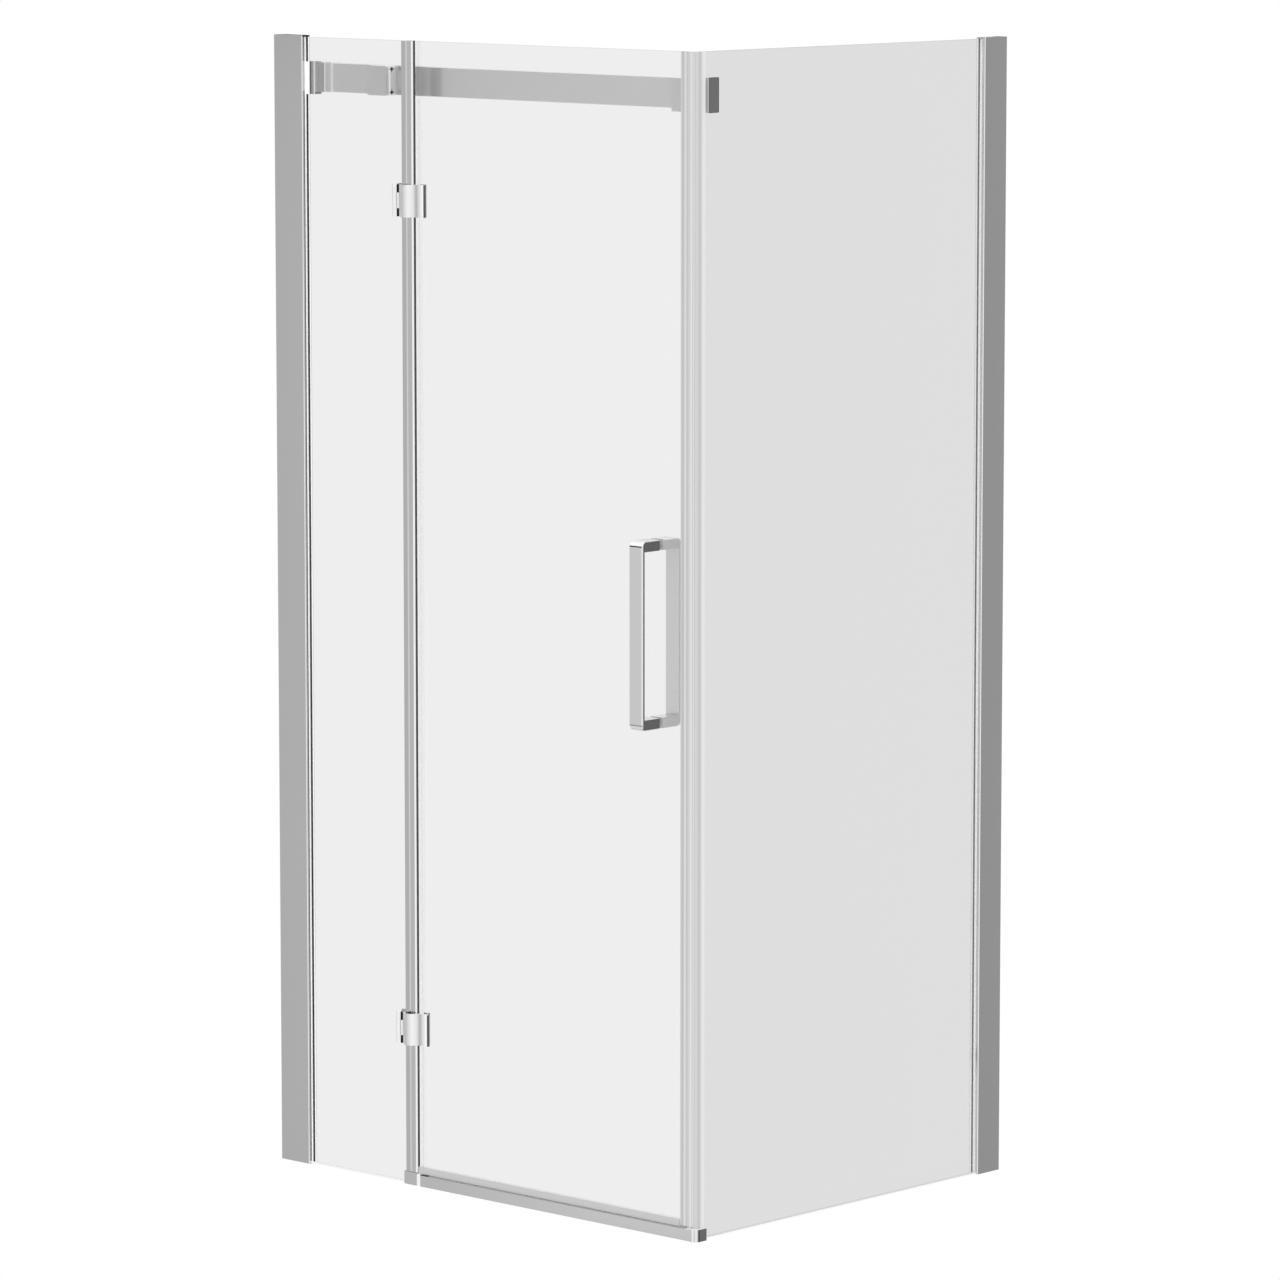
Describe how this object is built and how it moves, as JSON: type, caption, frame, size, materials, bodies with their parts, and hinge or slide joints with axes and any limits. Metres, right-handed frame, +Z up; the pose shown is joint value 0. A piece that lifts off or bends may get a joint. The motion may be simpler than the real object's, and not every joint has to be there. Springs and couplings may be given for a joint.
{
  "type": "shower enclosure",
  "caption": "Corner shower enclosure with a fixed glass panel, an outward-opening hinged glass door, a glass side panel, wall channels and a flat stabiliser bar.",
  "frame": {"origin": "centre of the footprint's bounding box, on the tray", "axes": "+Z up, +X from the left wall towards the side panel, +Y from the door towards the back wall"},
  "size_m": [1.0014, 0.8364, 2],
  "materials": {
    "bright_profile": "bright anodised",
    "chrome": "polished",
    "satin_metal": "satin plated",
    "front_glass": "clear toughened",
    "side_glass": "clear toughened",
    "clear_seal": "clear",
    "black_plastic": "moulded",
    "crystal_seal": "crystal clear",
    "magnet": "matt",
    "stainless": "turned"
  },
  "bodies": {
    "frame": {"front_wall_channel": "bright_profile", "side_wall_channel": "bright_profile", "front_glass_channel": "bright_profile", "side_glass_channel": "bright_profile", "hinge_post": "chrome", "sill_profile": "chrome", "sill_left_block": "chrome", "sill_right_cap": "chrome", "lower_hinge_fixed_leaf": "chrome", "upper_hinge_fixed_leaf": "chrome", "lower_hinge_fixed_plate": "chrome", "upper_hinge_fixed_plate": "chrome", "stabiliser_bar": "satin_metal", "bar_wall_bracket": "satin_metal", "bar_glass_clamp": "satin_metal", "bar_corner_bracket": "satin_metal", "bar_corner_plate": "satin_metal", "fixed_glass": "front_glass", "side_glass": "side_glass", "corner_magnetic_seal": "clear_seal", "fixed_bottom_strip": "crystal_seal", "side_bottom_strip": "crystal_seal", "hinge_fixed_pads": "crystal_seal", "bar_clamp_pad": "crystal_seal", "bar_corner_pads": "crystal_seal", "front_glass_gasket": "crystal_seal", "side_glass_gasket": "crystal_seal", "post_gasket": "crystal_seal", "front_channel_cap": "black_plastic", "side_channel_cap": "black_plastic", "corner_magnet_strip": "magnet", "front_channel_screws": "stainless", "side_channel_screws": "stainless", "hinge_fixed_screws": "stainless", "lower_hinge_pin": "stainless", "upper_hinge_pin": "stainless", "bar_clamp_screws": "stainless", "bar_set_screws": "stainless", "bar_corner_stud": "stainless"},
    "door": {"door_glass": "front_glass", "door_magnetic_seal": "clear_seal", "door_magnet_strip": "magnet", "door_bottom_seal": "clear_seal", "door_hinge_seals": "crystal_seal", "lower_hinge_door_leaf": "chrome", "upper_hinge_door_leaf": "chrome", "lower_hinge_cover_liner": "black_plastic", "upper_hinge_cover_liner": "black_plastic", "lower_hinge_door_plate": "chrome", "upper_hinge_door_plate": "chrome", "hinge_door_screws": "stainless", "hinge_door_pads": "crystal_seal", "hinge_bushes": "black_plastic", "handle_outer": "chrome", "handle_inner": "chrome", "handle_pads": "crystal_seal", "handle_studs": "stainless"}
  },
  "joints": [
    {"name": "door_swing", "type": "hinge", "parent": "frame", "child": "door", "pos_m": [-0.1917, -0.3826, 0], "axis": [0, 0, -1], "range_deg": [0, 105]}
  ]
}
